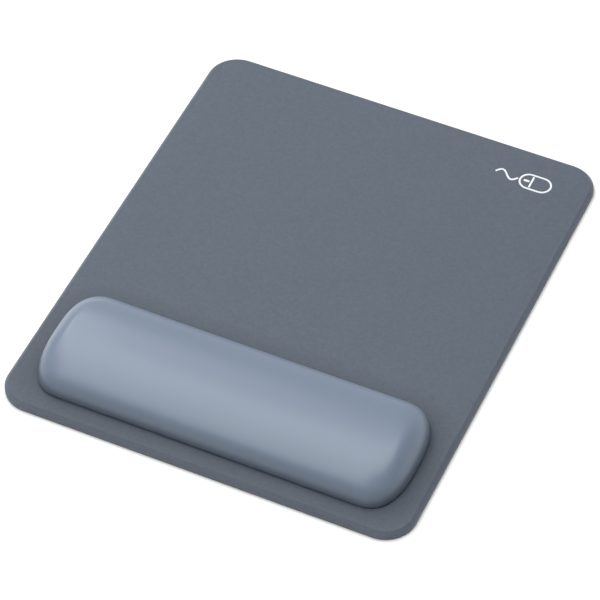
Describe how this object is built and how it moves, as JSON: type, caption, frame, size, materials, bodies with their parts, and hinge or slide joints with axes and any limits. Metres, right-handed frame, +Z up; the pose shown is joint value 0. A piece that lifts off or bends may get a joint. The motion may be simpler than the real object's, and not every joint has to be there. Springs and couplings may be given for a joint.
{
  "type": "mouse pad with wrist rest",
  "caption": "Fabric mouse pad on a non-slip rubber base, with a long padded foam wrist cushion in a soft satin cover along its front edge.",
  "frame": {"origin": "middle of the underside, on the surface that the pad lies on", "axes": "+X to the user's right, +Y away from the user, so the wrist cushion lies at -Y, +Z up"},
  "size_m": [0.209, 0.251, 0.0218],
  "materials": {
    "grip_rubber": "matt, finely textured",
    "laminating_film": "satin film",
    "foam_rubber": "matt, open-cell cut face",
    "pad_fabric": "fine knit, matt",
    "glue": "hot-melt, semi-gloss",
    "board": "pressed fibre, matt",
    "cushion_foam": "soft moulded foam",
    "soft_cover": "smooth leatherette, satin",
    "white_ink": "screen print"
  },
  "bodies": {
    "root": {"grip_base": "grip_rubber", "base_adhesive": "laminating_film", "pad_core": "foam_rubber", "surface_adhesive": "laminating_film", "surface_sheet": "pad_fabric", "mounting_adhesive": "glue", "hem_adhesive": "glue", "foam_adhesive": "glue", "backing_board": "board", "foam_core": "cushion_foam", "cushion_cover": "soft_cover", "print_mouse_outline": "white_ink", "print_button_line": "white_ink", "print_wheel": "white_ink", "print_lead": "white_ink"}
  },
  "joints": []
}
